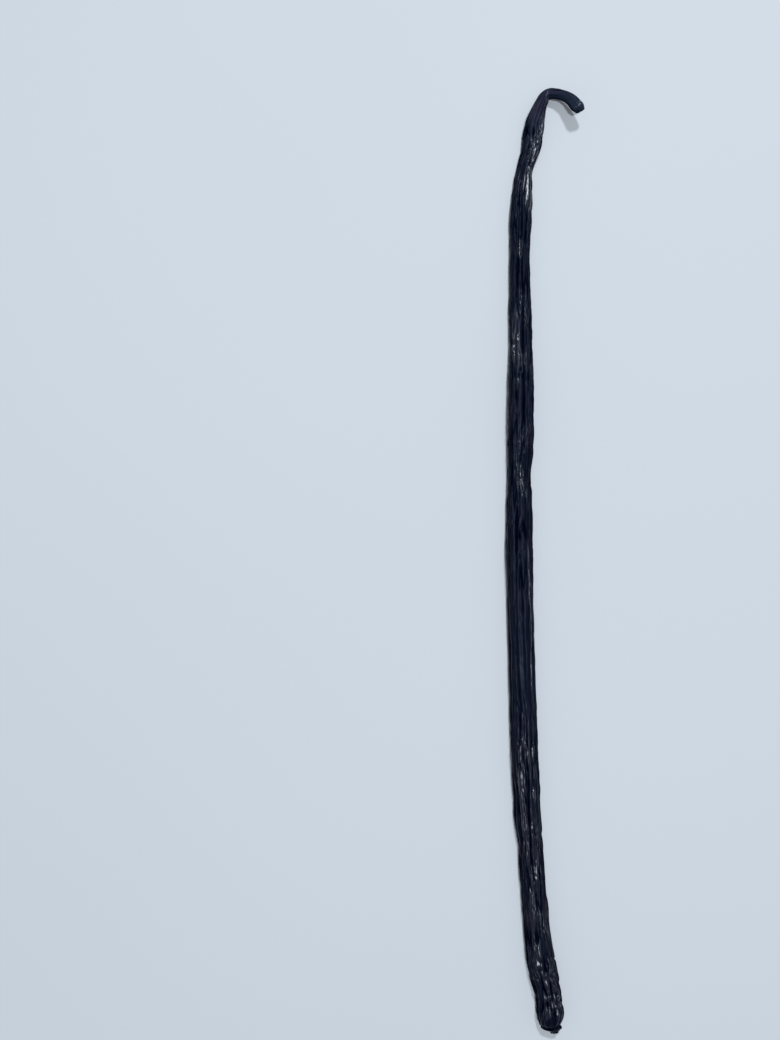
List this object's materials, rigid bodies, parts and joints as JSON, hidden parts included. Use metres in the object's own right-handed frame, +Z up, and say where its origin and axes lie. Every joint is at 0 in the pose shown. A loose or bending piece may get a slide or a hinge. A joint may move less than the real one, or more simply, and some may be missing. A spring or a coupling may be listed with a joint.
{
  "type": "vanilla pod",
  "caption": "Long, slim cured vanilla pod: near-black, oily, furrowed lengthwise, with a blunt flower end and a narrow neck whose stalk kinks over into a small hook.",
  "frame": {"origin": "on the surface that the pod lies on, under the middle of its bounding box", "axes": "+Y along the pod from the flower end to the stalk, +X to the side that the stalk's hook curls to, +Z up"},
  "size_m": [0.0152, 0.1892, 0.0058],
  "materials": {
    "cured_skin": "oily, wrinkled, near-black brown"
  },
  "bodies": {
    "root": {"vanilla_pod": "cured_skin"}
  },
  "joints": []
}
